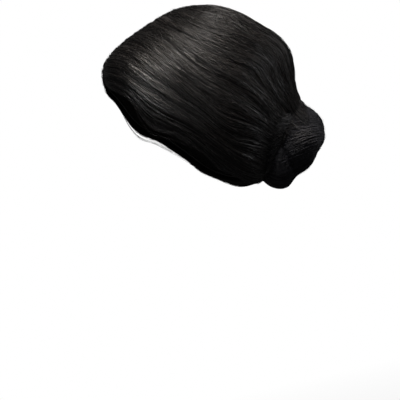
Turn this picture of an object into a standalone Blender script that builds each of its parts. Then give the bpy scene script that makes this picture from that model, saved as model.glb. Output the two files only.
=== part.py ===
"""A black wig with a low bun: the hair is parted in the middle, swept back and down over
the ears in broad locks, and gathered at the nape into a round bun with its end tucked
under. The hair is sewn to a thin stretch cap.

The wearer faces -Y, the wearer's left is +X and up is +Z. The origin is on the inside of
the cap, straight above the middle of the head, where the wig sits on the crown.
"""

import bmesh
import bpy
import numpy as np

# Driving sizes, in metres
HAIR_WIDTH = 0.176      # across the hair above the ears
CROWN_REACH = 0.1       # from the middle of the head to the outside of the hair at the crown
CROWN_DEPTH = 0.012     # thickness of the hair along the middle of the head
SIDE_DEPTH = 0.011      # thickness of the hair at the widest place of each side
EDGE_DEPTH = 0.0028     # thickness of the hair along the free hairline
GROOVE_DEPTH = 0.0026   # how far the hair dips at the parting
LOCK_RELIEF = 0.0016    # depth of the valleys between the locks
CAP_WALL = 0.0014       # thickness of the stretch cap
PIECE_GAP = 0.0006      # clearance between neighbouring pieces
CAP_GAP = 0.0009        # clearance between the cap and the hair sewn to it
BUN_HEIGHT = 0.086      # height of the bun's dome, along the nape
BUN_WIDTH = 0.098       # width of the bun's dome, from side to side
BUN_DEPTH = 0.043       # how far the bun stands out from the hair behind it
BUN_RELIEF = 0.0022     # depth of the valleys between the bun's coils
DIMPLE_DEPTH = 0.005    # depth of the hollow in the middle of the bun's swirl
TUCK_WIDTH = 0.0145     # how far the tucked end reaches past the rim of the dome
TUCK_DEPTH = 0.0185     # half the thickness of the tucked end, away from the nape

# Counts
LOCKS = 9               # locks on each side of the parting
LOCK_COLUMNS = 3        # mesh columns in each lock
FLOW_ROWS = 26          # mesh rows from the parting to the bun
CAP_COLUMNS = 13
CAP_ROWS = 14
BUN_COILS = 4
COIL_COLUMNS = 8        # mesh columns in each coil of the bun
BUN_ROWS = 13
SEAT_ROWS = 5
TUCK_SECTIONS = 17
TUCK_POINTS = 8         # points over the roll of the tucked end
WALL_POINTS = 7         # points up the side of the dome
UNDER_POINTS = 3        # points along the nape

# Shape numbers without a length
FULLNESS = 2.1          # 2 is an ellipse, more is boxier
PROFILE_START = -95.0   # degrees, straight down and a little forward
BUN_ANGLE = -40.0       # where the bun sits on the profile
BUN_SHIFT = 0.02        # how far the dome's middle lies above its seat, as a share of its height
BUN_TWIST = 1.9         # radians that the coils turn between the rim and the middle
TUCK_SPAN = 66.0        # degrees that the tucked end reaches to each side of the bottom
TUCK_LIFT = 0.63        # height of the roll's middle over the rim, as a share of its depth
TUCK_ARC = (20.0, 128.0)  # degrees of the roll that show, from its top to the nape
TUCK_TIP = 0.16         # size of the roll at its ends, as a share of its middle
TUCK_POWER = 0.7        # below 1 keeps the roll full nearer its ends
TUCK_ROOT = 0.95        # where the roll's middle lies, as a share of the way to the rim
TUCK_CLING = 0.35       # least share of its width by which the roll leaves the dome
CAP_MARGIN = 0.045      # share of the columns by which the cap stays behind the hairline
EDGE_COLUMNS = 0.17     # share of the columns over which the hair thickens from the hairline
PARTING_END = 0.86      # share of the columns at which the parting's groove has run out
PARTING_FADE = 0.16     # share of the columns over which it runs out
GROOVE_FLOW = 0.09      # share of the strands' length that the groove is wide
GATHER_START = 0.72     # share of the strands' length where the edge thickens to the bun
GATHER_LENGTH = 0.2     # share of the strands' length over which it does
VALLEY_START = 0.16     # share of the strands' length by which the valleys are full
VALLEY_END = 0.66       # share of the strands' length where they start to fade
VALLEY_FADE = 0.14      # share of the strands' length over which they fade
VALLEY_EDGE = 0.12      # share of the columns over which they start from the hairline
VALLEY_POWER = 0.8      # below 1 makes the valleys narrow and the locks round
LOCK_UNEVEN = 0.012     # how much the locks differ in width, as a share of the columns
COIL_POWER = 0.6        # below 1 keeps the bun's valleys deep nearer the rim and middle
DIMPLE_SPREAD = 0.22    # how far the bun's hollow reaches, as a share of the way to the rim
DOME_FULLNESS = (2.25, 0.25)  # fullness of the dome's sides, and how much more at its top
SEAT_TILTS = (45.0, 150.0)  # degrees between which the dome's side comes down on the hair
SEAT_SEARCH = 0.6       # how far a point is moved to find the hair, as a share of BUN_WIDTH
HALVINGS = 40           # steps of each search by halves

# The outline of the hair in the middle plane, seen from the wearer's left. The angle is
# measured at the middle of the head, 0 to the back and 90 to the crown. The reach is a
# share of CROWN_REACH and the depth a share of CROWN_DEPTH.
PROFILE = (
    # angle, reach, depth
    (-95, 1.120, 0.66),
    (-75, 1.220, 0.66),
    (-64, 1.150, 0.72),
    (-50, 1.090, 0.85),
    (-40, 1.075, 0.90),
    (-30, 1.080, 0.92),
    (-17, 1.085, 0.95),
    (-5, 1.072, 1.00),
    (5, 1.105, 1.12),
    (15, 1.130, 1.20),
    (25, 1.100, 1.15),
    (37, 1.045, 1.08),
    (50, 1.030, 1.06),
    (65, 1.020, 1.06),
    (80, 1.007, 1.06),
    (95, 1.002, 1.06),
    (105, 1.003, 1.04),
    (118, 1.012, 1.00),
    (130, 1.058, 1.00),
    (140, 1.108, 0.90),
    (150, 1.140, 0.62),
    (158, 1.110, 0.36),
    (166, 1.085, 0.34),
    (180, 1.060, 0.50),
    (200, 1.010, 0.62),
    (225, 0.990, 0.66),
    (248, 1.040, 0.66),
)

# Guide strands, from the free hairline to the middle of the back. Each runs from the
# middle plane, over the side, and back to the middle plane at the bun. Its points are an
# angle on the profile and a reach, as a share of the outline at that angle.
GUIDE_STRANDS = (
    # column share, path of (angle, reach)
    (0.00, ((160, 1.0), (164, 0.974), (171, 0.853), (177, 0.811), (186, 0.790),
            (197, 0.764), (218, 0.650), (236, 0.645), (254, 0.702), (266, 0.804),
            (276, 0.856), (283, 0.922), (289, 0.968), (294, 1.0))),
    (0.16, ((154, 1.0), (158, 0.86), (176, 0.62), (232, 0.44), (286, 0.74), (301, 1.0))),
    (0.36, ((140, 1.0), (140, 0.82), (154, 0.44), (257, 0.26), (305, 0.66), (312, 1.0))),
    (0.58, ((121, 1.0), (117, 0.80), (106, 0.36), (346, 0.36), (325, 0.76), (324, 1.0))),
    (0.80, ((99, 1.0), (90, 0.84), (62, 0.66), (22, 0.68), (346, 0.84), (335, 1.0))),
    (1.00, ((74, 1.0), (55, 1.0), (31, 1.0), (10, 1.0), (-8, 1.0), (-17, 1.0))),
)


def smooth_step(value):
    """0 below 0, 1 above 1 and a smooth rise between."""
    value = np.clip(value, 0.0, 1.0)
    return value * value * (3.0 - 2.0 * value)


def smooth_curve(knots, values, where):
    """A smooth curve through values at knots, read at where."""
    knots = np.asarray(knots, float)
    values = np.asarray(values, float)
    where = np.atleast_1d(np.asarray(where, float))
    slopes = np.gradient(values, knots, axis=0)
    first = np.clip(np.searchsorted(knots, where) - 1, 0, len(knots) - 2)
    step = knots[first + 1] - knots[first]
    along = (where - knots[first]) / step
    if values.ndim > 1:
        step = step[:, None]
        along = along[:, None]
    start = (2 * along**3 - 3 * along**2 + 1) * values[first]
    leave = (along**3 - 2 * along**2 + along) * step * slopes[first]
    end = (3 * along**2 - 2 * along**3) * values[first + 1]
    arrive = (along**3 - along**2) * step * slopes[first + 1]
    return start + leave + end + arrive


def profile(angle):
    """The outline's reach and the hair's depth in the middle plane, in metres."""
    rows = np.array(PROFILE, float)
    around = np.concatenate([rows - (360, 0, 0), rows, rows + (360, 0, 0)])
    turned = (np.atleast_1d(angle) - PROFILE_START) % 360.0 + PROFILE_START
    read = smooth_curve(around[:, 0], around[:, 1:], turned)
    return read[:, 0] * CROWN_REACH, read[:, 1] * CROWN_DEPTH


def head_point(angle, side, depth, outset=0.0):
    """A point of the wearer's left side. side is 1 in the middle plane and 0 at the widest
    place; depth is 0 where the hair meets the cap and 1 on the outside of the hair."""
    reach, hair = profile(angle)
    reach = reach - hair * (1.0 - depth) + outset
    half_width = HAIR_WIDTH / 2 - SIDE_DEPTH * (1.0 - depth) + outset
    lean = np.radians(90.0) * (1.0 - np.clip(side, 0.0, 1.0))
    out = half_width * np.sin(lean) ** (2 / FULLNESS)
    reach = reach * np.cos(lean) ** (2 / FULLNESS)
    turn = np.radians(angle)
    return np.stack([out, reach * np.cos(turn), reach * np.sin(turn)], axis=-1)


def guide_curve(path, rows):
    """A guide strand as evenly spaced points of the flat map of one side of the head, in
    which the middle plane is the unit circle and the widest place is its centre."""
    angle, reach = np.array(path, float).T
    side = 1.0 - np.degrees(np.arccos(np.clip(reach, 0, 1) ** (FULLNESS / 2))) / 90.0
    turn = np.radians(angle)
    points = np.stack([side * np.cos(turn), side * np.sin(turn)], axis=-1)
    chords = np.concatenate([[0.0], np.cumsum(np.hypot(*np.diff(points, axis=0).T))])
    fine = np.linspace(0.0, chords[-1], 400)
    curve = smooth_curve(chords, points, fine)
    length = np.concatenate([[0.0], np.cumsum(np.hypot(*np.diff(curve, axis=0).T))])
    even = np.linspace(0.0, length[-1], rows + 1)
    return np.stack([np.interp(even, length, axis) for axis in curve.T], axis=-1)


def flow_map(columns, rows):
    """Angle and side of each mesh point: one row of points down each column of hair."""
    shares = [share for share, _ in GUIDE_STRANDS]
    curves = np.array([guide_curve(path, rows) for _, path in GUIDE_STRANDS])
    flat = np.stack(
        [smooth_curve(shares, curves[:, row], columns) for row in range(rows + 1)], axis=1
    )
    side = np.minimum(np.hypot(flat[..., 0], flat[..., 1]), 1.0)
    angle = np.degrees(np.arctan2(flat[..., 1], flat[..., 0]))
    side[:, 0] = 1.0
    side[:, -1] = 1.0
    side[-1] = np.where(columns[-1] >= 1.0, 1.0, side[-1])
    return angle, side


def hair_depth(columns, flow):
    """How much of the hair's full depth stands at each mesh point, as a share."""
    column = columns[:, None]
    edge = EDGE_DEPTH / SIDE_DEPTH
    gathered = smooth_step((flow - GATHER_START) / GATHER_LENGTH)
    edge = edge + (1.0 - edge) * gathered
    share = edge + (1.0 - edge) * smooth_step(column / EDGE_COLUMNS) ** VALLEY_POWER
    parted = 1.0 - smooth_step((column - PARTING_END) / PARTING_FADE + 1.0)
    groove = GROOVE_DEPTH / CROWN_DEPTH * parted * (1.0 - smooth_step(flow / GROOVE_FLOW))
    return share * (1.0 - groove)


def lock_valleys(columns, flow):
    """Depth of the valleys between the locks, in metres: none at the roots and none
    under the bun."""
    index = np.arange(len(columns))[:, None]
    valley = 1.0 - np.abs(np.sin(np.pi * index / LOCK_COLUMNS)) ** VALLEY_POWER
    fade = 1.0 - smooth_step((flow - VALLEY_END) / VALLEY_FADE)
    thin = smooth_step(columns[:, None] / VALLEY_EDGE)
    return LOCK_RELIEF * valley * smooth_step(flow / VALLEY_START) * fade * thin


def grid_faces(columns, rows, first=0):
    """Quads of a grid of points that is columns by rows."""
    return [
        (
            first + column * rows + row,
            first + column * rows + row + 1,
            first + (column + 1) * rows + row + 1,
            first + (column + 1) * rows + row,
        )
        for column in range(columns - 1)
        for row in range(rows - 1)
    ]


def rim_of(columns, rows):
    """Indices round the border of a grid of points."""
    start = [column * rows for column in range(columns)]
    far = [(columns - 1) * rows + row for row in range(1, rows)]
    end = [column * rows + rows - 1 for column in range(columns - 2, -1, -1)]
    near = list(range(rows - 2, 0, -1))
    return start + far + end + near


def make_object(name, points, faces, material):
    """One closed object from points and faces, with its faces turned outward."""
    mesh = bpy.data.meshes.new(name)
    mesh.from_pydata([tuple(map(float, point)) for point in points], [], faces)
    shell = bmesh.new()
    shell.from_mesh(mesh)
    bmesh.ops.remove_doubles(shell, verts=shell.verts, dist=1e-6)
    bmesh.ops.dissolve_degenerate(shell, edges=shell.edges, dist=1e-7)
    bmesh.ops.triangulate(shell, faces=shell.faces)
    bmesh.ops.recalc_face_normals(shell, faces=shell.faces)
    shell.to_mesh(mesh)
    shell.free()
    mesh.shade_smooth()
    mesh.set_sharp_from_angle(angle=np.radians(50.0))
    mesh.materials.append(material)
    item = bpy.data.objects.new(name, mesh)
    bpy.context.scene.collection.objects.link(item)
    return item


def make_material(name, colour, roughness):
    material = bpy.data.materials.new(name)
    material.use_nodes = True
    shader = material.node_tree.nodes["Principled BSDF"]
    shader.inputs["Base Color"].default_value = (*colour, 1.0)
    shader.inputs["Roughness"].default_value = roughness
    return material


def seat_height():
    """Height of the cap's inside over the middle of the head, which is the origin."""
    inset = -(CAP_GAP + CAP_WALL)
    return head_point(np.array([90.0]), np.array([1.0]), 0.0, inset)[0, 2]


def to_origin(points):
    return points - np.array([0.0, 0.0, seat_height()])


def hair_half(name, sign, material):
    """The hair of one side: a shell that follows the head, with locks on its outside."""
    count = LOCKS * LOCK_COLUMNS
    even = np.linspace(0.0, 1.0, count + 1)
    columns = even + LOCK_UNEVEN * np.sin(4 * np.pi * even)
    flow = np.linspace(0.0, 1.0, FLOW_ROWS + 1)[None, :]
    angle, side = flow_map(columns, FLOW_ROWS)
    flat_angle = angle.ravel()
    flat_side = side.ravel()
    share = hair_depth(columns, flow).ravel()[:, None]
    valleys = lock_valleys(columns, flow).ravel()
    inner = head_point(flat_angle, flat_side, 0.0)
    full = head_point(flat_angle, flat_side, 1.0, -valleys)
    outer = inner + (full - inner) * share
    points = np.concatenate([outer, inner])
    points[:, 0] = np.maximum(points[:, 0], PIECE_GAP / 2) * sign
    faces = grid_faces(count + 1, FLOW_ROWS + 1)
    inside = grid_faces(count + 1, FLOW_ROWS + 1, len(outer))
    faces += [face[::-1] for face in inside]
    rim = rim_of(count + 1, FLOW_ROWS + 1)
    for here, following in zip(rim, rim[1:] + rim[:1]):
        faces.append((here, following, following + len(outer), here + len(outer)))
    return make_object(name, to_origin(points), faces, material)


def stretch_cap(material):
    """The cap that the hair is sewn to: one thin shell under both halves."""
    columns = np.linspace(CAP_MARGIN, 1.0, CAP_COLUMNS + 1)
    angle, side = flow_map(columns, CAP_ROWS)
    shape = (angle.ravel(), side.ravel(), 0.0)
    outside = head_point(*shape, -CAP_GAP)
    inside = head_point(*shape, -CAP_GAP - CAP_WALL)
    mirror = np.array([-1.0, 1.0, 1.0])
    points = np.concatenate([outside, inside, outside * mirror, inside * mirror])
    size = len(outside)
    faces = []
    for first in range(0, 4 * size, size):
        faces += grid_faces(CAP_COLUMNS + 1, CAP_ROWS + 1, first)
    for first in (0, 2 * size):
        for row in range(CAP_ROWS):
            edge = (first + row, first + row + 1)
            faces.append((*edge, edge[1] + size, edge[0] + size))
    return make_object("stretch_cap", to_origin(points), faces, material)


def bun_frame():
    """The bun's seat: its middle, and its directions up, out and sideways."""
    angle = np.array([BUN_ANGLE])
    seat = head_point(angle, np.array([1.0]), 1.0)[0]
    turn = np.radians(BUN_ANGLE)
    out = np.array([0.0, np.cos(turn), np.sin(turn)])
    up = np.array([0.0, -np.sin(turn), np.cos(turn)])
    across = np.array([1.0, 0.0, 0.0])
    return seat, up, out, across


def sunk(points, outset):
    """Below 0 where a point is inside the hair's outer surface moved out by outset."""
    reach, _ = profile(np.degrees(np.arctan2(points[:, 2], points[:, 1])))
    share = np.hypot(points[:, 1], points[:, 2]) / (reach + outset)
    across = np.abs(points[:, 0]) / (HAIR_WIDTH / 2 + outset)
    return share**FULLNESS + across**FULLNESS - 1.0


def dome_section(turn):
    """Radius of the dome's rim along a direction, and how full its side is there."""
    up = np.cos(turn) * BUN_HEIGHT / 2
    across = np.sin(turn) * BUN_WIDTH / 2
    return up, across, DOME_FULLNESS[0] + DOME_FULLNESS[1] * np.cos(turn)


def dome_point(turn, tilt, outset=0.0):
    """A point of the bun's dome. turn goes round from the top of the rim; tilt is 0 at the
    middle of the swirl and a right angle at the widest ring."""
    seat, up, out, across = bun_frame()
    high, wide, fullness = dome_section(turn)
    power = 2.0 / fullness
    spread = np.abs(np.sin(tilt)) ** power
    height = np.sign(np.cos(tilt)) * np.abs(np.cos(tilt)) ** power * (BUN_DEPTH + outset)
    growth = 1.0 + outset / (BUN_HEIGHT / 2)
    middle = seat + up * BUN_SHIFT * BUN_HEIGHT
    return (
        middle
        + np.multiply.outer(high * spread * growth, up)
        + np.multiply.outer(wide * spread * growth, across)
        + np.multiply.outer(height, out)
    )


def seated_tilt(turn, outset=0.0):
    """The tilt at which the dome's side comes down on the hair behind it."""
    low = np.full(len(turn), np.radians(SEAT_TILTS[0]))
    high = np.full(len(turn), np.radians(SEAT_TILTS[1]))
    for _ in range(HALVINGS):
        middle = (low + high) / 2
        inside = sunk(dome_point(turn, middle, outset), PIECE_GAP) < 0
        high = np.where(inside, middle, high)
        low = np.where(inside, low, middle)
    return low


def onto_seat(points, out):
    """Points moved along the bun's axis onto the hair's outer surface, clear of it."""
    low = np.full(len(points), -SEAT_SEARCH * BUN_WIDTH)
    high = np.full(len(points), SEAT_SEARCH * BUN_WIDTH)
    for _ in range(HALVINGS):
        middle = (low + high) / 2
        inside = sunk(points + middle[:, None] * out, PIECE_GAP) < 0
        low = np.where(inside, middle, low)
        high = np.where(inside, high, middle)
    return points + high[:, None] * out


def bun_dome(material):
    """The bun: a dome of coils that swirl to its middle, hollowed to fit the nape."""
    seat, _, out, _ = bun_frame()
    count = BUN_COILS * COIL_COLUMNS
    index = np.arange(count)
    start = 2 * np.pi * index / count
    valley = 1.0 - np.abs(np.sin(np.pi * index / COIL_COLUMNS)) ** VALLEY_POWER
    rings = []
    for share in np.linspace(0.0, 1.0, BUN_ROWS + 1)[1:]:
        turn = start - BUN_TWIST * (1.0 - share)
        tilt = seated_tilt(turn) * share
        relief = BUN_RELIEF * valley * np.sin(np.pi * share) ** COIL_POWER
        ring = dome_point(turn, tilt)
        inward = (seat - ring) / np.linalg.norm(seat - ring, axis=1)[:, None]
        dimple = DIMPLE_DEPTH * np.exp(-((share / DIMPLE_SPREAD) ** 2))
        rings.append(ring + inward * relief[:, None] - out * dimple)
    rim = rings[-1]
    middle = rim.mean(axis=0)
    for share in np.linspace(1.0, 0.0, SEAT_ROWS + 1)[1:-1]:
        rings.append(onto_seat(middle + (rim - middle) * share, out))
    pole = dome_point(np.zeros(1), np.zeros(1))[0] - out * DIMPLE_DEPTH
    foot = onto_seat(middle[None, :], out)[0]
    points = np.concatenate([*rings, [pole], [foot]])
    faces = []
    for ring in range(len(rings) - 1):
        for column in range(count):
            here = ring * count + column
            beside = ring * count + (column + 1) % count
            faces.append((here, beside, beside + count, here + count))
    last = (len(rings) - 1) * count
    for column in range(count):
        beside = (column + 1) % count
        faces.append((column, beside, len(points) - 2))
        faces.append((last + column, last + beside, len(points) - 1))
    return make_object("bun", to_origin(points), faces, material)


def tuck_section(turn, size):
    """One slice of the tucked end: up the side of the dome, over in a round roll, and
    back along the nape."""
    seat, up, out, across = bun_frame()
    high, wide, _ = dome_section(turn)
    rim = np.hypot(high, wide)
    direction = (up * high + across * wide) / rim
    middle = seat + up * BUN_SHIFT * BUN_HEIGHT
    low_tilt = seated_tilt(np.array([turn]), PIECE_GAP)[0]
    tilts = np.linspace(low_tilt, np.radians(30.0), 60)
    side = dome_point(np.full(60, turn), tilts, PIECE_GAP)
    heights = (side - middle) @ out
    roll_middle = heights[0] + TUCK_LIFT * TUCK_DEPTH * size
    arc = np.radians(np.linspace(TUCK_ARC[0], TUCK_ARC[1], TUCK_POINTS))
    roll_height = roll_middle + TUCK_DEPTH * size * np.cos(arc)
    top_tilt = np.interp(roll_height[0], heights, tilts)
    wall_tilts = np.linspace(low_tilt, top_tilt, WALL_POINTS)
    wall = dome_point(np.full(WALL_POINTS, turn), wall_tilts, PIECE_GAP)
    reach = (wall - middle) @ direction
    grown = TUCK_WIDTH * size * np.sin(arc)
    roll_reach = np.maximum(rim * TUCK_ROOT + grown, reach[-1] + grown * TUCK_CLING)
    under = np.linspace(roll_reach[-1], reach[0], UNDER_POINTS + 2)[1:-1]
    roll = middle + np.outer(roll_reach, direction) + np.outer(roll_height, out)
    under = middle + np.outer(under, direction) + roll_height[-1] * out
    outside = np.concatenate([roll, under])
    lies = sunk(outside, PIECE_GAP) < 0
    lies[TUCK_POINTS:] = True
    outside = np.where(lies[:, None], onto_seat(outside, out), outside)
    return np.concatenate([wall, outside])


def bun_tuck(material):
    """The end of the bun's hair, tucked under the dome against the nape."""
    places = np.linspace(-1.0, 1.0, TUCK_SECTIONS)
    sections = []
    for place in places:
        size = TUCK_TIP + (1.0 - TUCK_TIP) * (1.0 - place**2) ** TUCK_POWER
        turn = np.pi + np.radians(TUCK_SPAN) * place
        sections.append(tuck_section(turn, size))
    points = np.concatenate(sections)
    ring = len(sections[0])
    faces = []
    for section in range(TUCK_SECTIONS - 1):
        for corner in range(ring):
            here = section * ring + corner
            beside = section * ring + (corner + 1) % ring
            faces.append((here, beside, beside + ring, here + ring))
    for first in (0, (TUCK_SECTIONS - 1) * ring):
        faces.append(tuple(range(first, first + ring)))
    return make_object("bun_tuck", to_origin(points), faces, material)


def clear_scene():
    for item in list(bpy.data.objects):
        bpy.data.objects.remove(item)


def main():
    clear_scene()
    swept = make_material("swept_hair", (0.010, 0.009, 0.009), 0.42)
    coiled = make_material("coiled_hair", (0.008, 0.008, 0.010), 0.46)
    net = make_material("cap_net", (0.016, 0.015, 0.015), 0.85)
    stretch_cap(net)
    hair_half("hair_left", 1.0, swept)
    hair_half("hair_right", -1.0, swept)
    bun_dome(coiled)
    bun_tuck(coiled)


main()
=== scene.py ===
"""The looks of the black bun wig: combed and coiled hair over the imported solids.

All lengths are in metres, in the frame of the model: the wearer faces -Y, the wearer's
left is +X, up is +Z, and the origin is on the inside of the cap at the crown.
"""

import bmesh
import bpy
import numpy as np
from mathutils import Matrix, Vector


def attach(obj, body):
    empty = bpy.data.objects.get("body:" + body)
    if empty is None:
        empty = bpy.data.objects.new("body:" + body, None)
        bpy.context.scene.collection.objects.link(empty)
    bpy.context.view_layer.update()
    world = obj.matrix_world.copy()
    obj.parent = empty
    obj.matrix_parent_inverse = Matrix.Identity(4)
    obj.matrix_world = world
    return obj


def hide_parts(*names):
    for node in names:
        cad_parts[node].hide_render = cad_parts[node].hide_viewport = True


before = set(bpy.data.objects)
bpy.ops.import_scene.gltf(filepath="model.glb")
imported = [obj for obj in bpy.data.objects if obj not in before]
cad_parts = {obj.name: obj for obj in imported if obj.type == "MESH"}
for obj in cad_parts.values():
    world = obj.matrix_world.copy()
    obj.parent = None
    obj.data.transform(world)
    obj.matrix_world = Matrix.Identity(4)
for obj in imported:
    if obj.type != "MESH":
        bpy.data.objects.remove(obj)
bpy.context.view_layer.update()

# Sizes of the hair, as in the model's source
HAIR_WIDTH = 0.176
CROWN_REACH = 0.1
CROWN_DEPTH = 0.012
SIDE_DEPTH = 0.011
EDGE_DEPTH = 0.0028
GROOVE_DEPTH = 0.0026
LOCK_RELIEF = 0.0016
CAP_WALL = 0.0014
PIECE_GAP = 0.0006
CAP_GAP = 0.0009
BUN_HEIGHT = 0.086
BUN_WIDTH = 0.098
BUN_DEPTH = 0.043
BUN_RELIEF = 0.0022
DIMPLE_DEPTH = 0.005
TUCK_WIDTH = 0.0145
TUCK_DEPTH = 0.0185

# Shares and angles of the hair, as in the model's source
LOCKS = 9
FULLNESS = 2.1
PROFILE_START = -95.0
BUN_ANGLE = -40.0
BUN_SHIFT = 0.02
BUN_TWIST = 1.9
BUN_COILS = 4
TUCK_SPAN = 66.0
TUCK_LIFT = 0.63
TUCK_ARC = (20.0, 128.0)
TUCK_TIP = 0.16
TUCK_POWER = 0.7
TUCK_ROOT = 0.95
TUCK_CLING = 0.35
CAP_MARGIN = 0.045
EDGE_COLUMNS = 0.17
PARTING_END = 0.86
PARTING_FADE = 0.16
GROOVE_FLOW = 0.09
GATHER_START = 0.72
GATHER_LENGTH = 0.2
VALLEY_START = 0.16
VALLEY_END = 0.66
VALLEY_FADE = 0.14
VALLEY_EDGE = 0.12
VALLEY_POWER = 0.8
LOCK_UNEVEN = 0.012
COIL_POWER = 0.6
DIMPLE_SPREAD = 0.22
DOME_FULLNESS = (2.25, 0.25)
SEAT_TILTS = (45.0, 150.0)
SEAT_SEARCH = 0.6
HALVINGS = 40

# The outline in the middle plane: 0 degrees is the back and 90 the crown. The reach is a
# share of CROWN_REACH and the depth a share of CROWN_DEPTH.
PROFILE = (
    # angle, reach, depth
    (-95, 1.120, 0.66),
    (-75, 1.220, 0.66),
    (-64, 1.150, 0.72),
    (-50, 1.090, 0.85),
    (-40, 1.075, 0.90),
    (-30, 1.080, 0.92),
    (-17, 1.085, 0.95),
    (-5, 1.072, 1.00),
    (5, 1.105, 1.12),
    (15, 1.130, 1.20),
    (25, 1.100, 1.15),
    (37, 1.045, 1.08),
    (50, 1.030, 1.06),
    (65, 1.020, 1.06),
    (80, 1.007, 1.06),
    (95, 1.002, 1.06),
    (105, 1.003, 1.04),
    (118, 1.012, 1.00),
    (130, 1.058, 1.00),
    (140, 1.108, 0.90),
    (150, 1.140, 0.62),
    (158, 1.110, 0.36),
    (166, 1.085, 0.34),
    (180, 1.060, 0.50),
    (200, 1.010, 0.62),
    (225, 0.990, 0.66),
    (248, 1.040, 0.66),
)

# Guide strands from the free hairline to the middle of the back, as in the source
GUIDE_STRANDS = (
    # column share, path of (angle, reach)
    (0.00, ((160, 1.0), (164, 0.974), (171, 0.853), (177, 0.811), (186, 0.790),
            (197, 0.764), (218, 0.650), (236, 0.645), (254, 0.702), (266, 0.804),
            (276, 0.856), (283, 0.922), (289, 0.968), (294, 1.0))),
    (0.16, ((154, 1.0), (158, 0.86), (176, 0.62), (232, 0.44), (286, 0.74), (301, 1.0))),
    (0.36, ((140, 1.0), (140, 0.82), (154, 0.44), (257, 0.26), (305, 0.66), (312, 1.0))),
    (0.58, ((121, 1.0), (117, 0.80), (106, 0.36), (346, 0.36), (325, 0.76), (324, 1.0))),
    (0.80, ((99, 1.0), (90, 0.84), (62, 0.66), (22, 0.68), (346, 0.84), (335, 1.0))),
    (1.00, ((74, 1.0), (55, 1.0), (31, 1.0), (10, 1.0), (-8, 1.0), (-17, 1.0))),
)
GUIDE_STEPS = 240

# Detail of the combed hair
SHELL_COLUMNS = 320
SHELL_ROWS = 84
LINING_COLUMNS = 80
LINING_ROWS = 28
SHELL_MAP = 0.8         # share of the flat map's width that the outside takes
CLUMP_SEED = 5          # all layers wander alike
CLUMPS = 52             # ridges across one side, under the strands
CLUMP_RELIEF = 0.0004   # depth between the ridges
TUBE_SIDES = 3
FLATNESS = 0.8          # height of a strand, as a share of its width
STRAND_SIZES = (0.6, 1.3)  # the thinnest and the thickest, as shares of the radius
STRAND_ENDS = 0.1       # share of a strand that each thin end takes
SINK = 0.14             # share of a strand over which each end goes into the mass
STRAND_STEPS = 12
SIDE_STRANDS = 2600     # strands of each side that lie close
TOP_STRANDS = 1000      # strands of each side that lie on the others
STRAND_RADIUS = 0.00034
TOP_RADIUS = 0.00022
CLUMP_DRIFT = 0.010     # how far the combed hair wanders as a whole, as a share of the columns
STRAND_DRIFT = 0.006    # how far a tuft or a strand wanders by itself
KINK = 0.0026           # how far a tuft waves from side to side
KINK_RISE = 0.00036     # how far it waves up and down, in metres
OWN_KINK = 0.40         # how much of that each strand waves by itself
TUFT_CROWN = 0.00022    # how much higher the middle of a tuft lies than its sides
STRAND_DIVE = 0.0006    # how deep a strand's ends go into the mass
CROWN_SHARE = 0.8       # below 1 puts more tufts near the crown, where they fan out
ROOT_FLOW = 0.02        # strands that start nearer the parting than this rise from it at once
ROOT_SINK = 0.04        # share of such a strand over which it rises
LOOSE_STRANDS = 130     # loose hairs of each side that lift off the rest
LOOSE_STEPS = 22
LOOSE_RADIUS = 0.00009
LOOSE_LIFT = 0.0026
BRIGHT_STRANDS = 30     # long smooth strands of each side that shine, in the lightest tones: painted highlight
BRIGHT_RADIUS = 0.0002
EDGE_HAIRS = 170        # fine hairs of each side along the free hairline
EDGE_RADIUS = 0.00013
WISPS = 8               # loose hairs of each side that bow out below the temple
WISP_RADIUS = 0.00012
WISP_BULGE = 0.085      # how far they bow out, as a share of the columns

# Detail of the cap
CAP_COLUMNS = 30
CAP_ROWS = 110
CAP_BACK_ROWS = 22
WEFTS = 22              # rows of sewn hair across the inside of the cap
WEFT_RELIEF = 0.0004
CAP_HEM = 0.08          # share of the cap's columns that its bound edge takes
CAP_MAP = 0.48          # share of the flat map's width that each half of the cap takes
MIDDLE_REACH = 0.00002  # how near the middle plane points of both halves are joined

# Detail of the bun
BUN_COLUMNS = 240
BUN_ROWS = 56
SEAT_ROWS = 4
BUN_STRANDS = 1250
BUN_RADIUS = 0.00026
BUN_LOOSE = 70
BUN_CLUMPS = 44
TUCK_SECTIONS = 96
TUCK_POINTS = 26
WALL_POINTS = 7
UNDER_POINTS = 3
TUCK_STRANDS = 420
TUCK_SLANT = 0.16       # how far a strand of the roll slants, as a share of its sections
COVER_POINTS = 6
COVER_TILT = 0.26       # how far its strands reach up the dome, in radians
COVER_REACH = 0.009     # how far they reach over the hair of the nape
COVER_SMOOTHING = 5
GATHERED_STRANDS = 620  # strands of the head's hair that run onto the bun
GATHERED_TUFTS = 120
GATHERED_TURN = np.radians(112.0)
CLIMB_TURN = np.radians(58.0)
CLIMB_SPREAD = np.radians(34.0)
CLIMB = 0.0145          # how far they climb the dome where they climb most
CLIMB_LEAST = 0.003
WRAPPED_STRANDS = 420   # short strands of the bun that wrap its base, in lighter shades: painted highlight
WRAPPED_TURNS = np.radians((72.0, 150.0))
FILLET_RISE = 0.0034    # how high the strands lie over the corner at the bun's base
FILLET_REACH = 0.0075
BASE_SINK = 0.18        # share of such a strand over which each end goes into the mass

# The camera: the photograph's side view from a little in front, with the head tipped
CAMERA_AZIMUTH = np.radians(80.0)
CAMERA_ROLL = np.radians(13.5)
CAMERA_DISTANCE = 2.6
FRAME_FIELD = 0.448     # metres across the picture at the middle of the head
SENSOR_WIDTH = 0.036
AIM_ACROSS = -0.0272    # where the picture's middle lies, towards the back
AIM_HEIGHT = -0.1985

FLOOR_HEIGHT = -0.62
FLOOR_FADE = 2.4        # from the middle of the floor to where it is as white as the rest
HALF_PLANE = 6.0


def smooth_step(value):
    """0 below 0, 1 above 1 and a smooth rise between."""
    value = np.clip(value, 0.0, 1.0)
    return value * value * (3.0 - 2.0 * value)


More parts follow.
